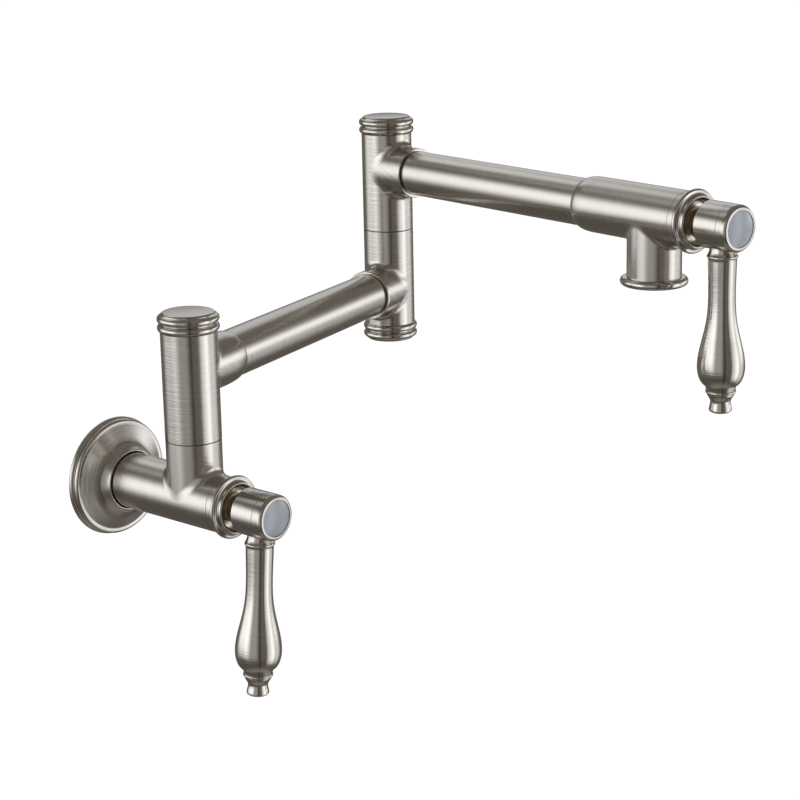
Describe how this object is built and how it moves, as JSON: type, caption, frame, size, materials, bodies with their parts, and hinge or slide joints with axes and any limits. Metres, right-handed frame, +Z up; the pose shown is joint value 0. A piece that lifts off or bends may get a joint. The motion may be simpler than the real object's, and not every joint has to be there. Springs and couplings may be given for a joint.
{
  "type": "wall mounted pot filler",
  "caption": "Wall mounted pot filler with folding swivel arms, a lever valve at the wall and another above the downward spout.",
  "frame": {"origin": "where the valve axis meets the wall, at the mouth of the threaded inlet", "axes": "+Y into the wall along the inlet, +Z up, +X to the right seen from the room; the part reaches out along -Y"},
  "size_m": [0.2523, 0.2812, 0.2601],
  "materials": {
    "satin_nickel": "brushed nickel, satin, with polished beads",
    "brass": "turned brass",
    "rubber": "black rubber",
    "ceramic": "white lapped ceramic",
    "bearing_plastic": "black bearing plastic",
    "stainless": "stainless steel",
    "index_enamel": "glossy blue-grey dome",
    "white_plastic": "white moulded plastic"
  },
  "bodies": {
    "wall_body": {"wall_flange": "satin_nickel", "flange_gasket": "rubber", "flange_o_ring": "rubber", "valve_body": "satin_nickel", "wall_cartridge": "brass", "wall_seat_seal": "rubber", "wall_fixed_disc": "ceramic", "wall_bonnet_ring": "satin_nickel", "swivel_washer": "bearing_plastic", "swivel_post": "brass", "swivel_o_rings": "rubber", "swivel_thrust_ring": "bearing_plastic", "swivel_nut": "stainless"},
    "wall_handle": {"wall_stem": "brass", "wall_moving_disc": "ceramic", "wall_hub": "satin_nickel", "wall_lever": "satin_nickel", "wall_index_button": "index_enamel", "wall_handle_screw": "stainless"},
    "arm_1": {"swivel_barrel": "satin_nickel", "swivel_cap": "satin_nickel", "arm_1_tube": "satin_nickel", "lower_knuckle": "satin_nickel", "bottom_cap": "satin_nickel", "elbow_washer": "bearing_plastic", "elbow_post": "brass", "elbow_o_rings": "rubber", "elbow_thrust_ring": "bearing_plastic", "elbow_nut": "stainless"},
    "arm_2": {"upper_knuckle": "satin_nickel", "top_cap": "satin_nickel", "arm_2_tube": "satin_nickel", "outlet_body": "satin_nickel", "outlet_cartridge": "brass", "outlet_seat_seal": "rubber", "outlet_fixed_disc": "ceramic", "outlet_bonnet_ring": "satin_nickel", "spout_ring": "satin_nickel", "aerator_insert": "white_plastic", "aerator_screen": "stainless"},
    "outlet_handle": {"outlet_stem": "brass", "outlet_moving_disc": "ceramic", "outlet_hub": "satin_nickel", "outlet_lever": "satin_nickel", "outlet_index_button": "index_enamel", "outlet_handle_screw": "stainless"}
  },
  "joints": [
    {"name": "swivel_turn", "type": "hinge", "parent": "wall_body", "child": "arm_1", "pos_m": [0, -0.0625, 0.0312], "axis": [0, 0, 1], "range_deg": [-205, 0]},
    {"name": "elbow_turn", "type": "hinge", "parent": "arm_1", "child": "arm_2", "pos_m": [0.20555, -0.01618, 0.101], "axis": [0, 0, 1], "range_deg": [-67, 292]},
    {"name": "wall_valve_turn", "type": "hinge", "parent": "wall_body", "child": "wall_handle", "pos_m": [0, -0.0625, 0], "axis": [0, -1, 0], "range_deg": [0, 90]},
    {"name": "outlet_valve_turn", "type": "hinge", "parent": "arm_2", "child": "outlet_handle", "pos_m": [0.17004, -0.22387, 0.1359], "axis": [-0.1685, -0.9857, 0], "range_deg": [0, 90]}
  ]
}
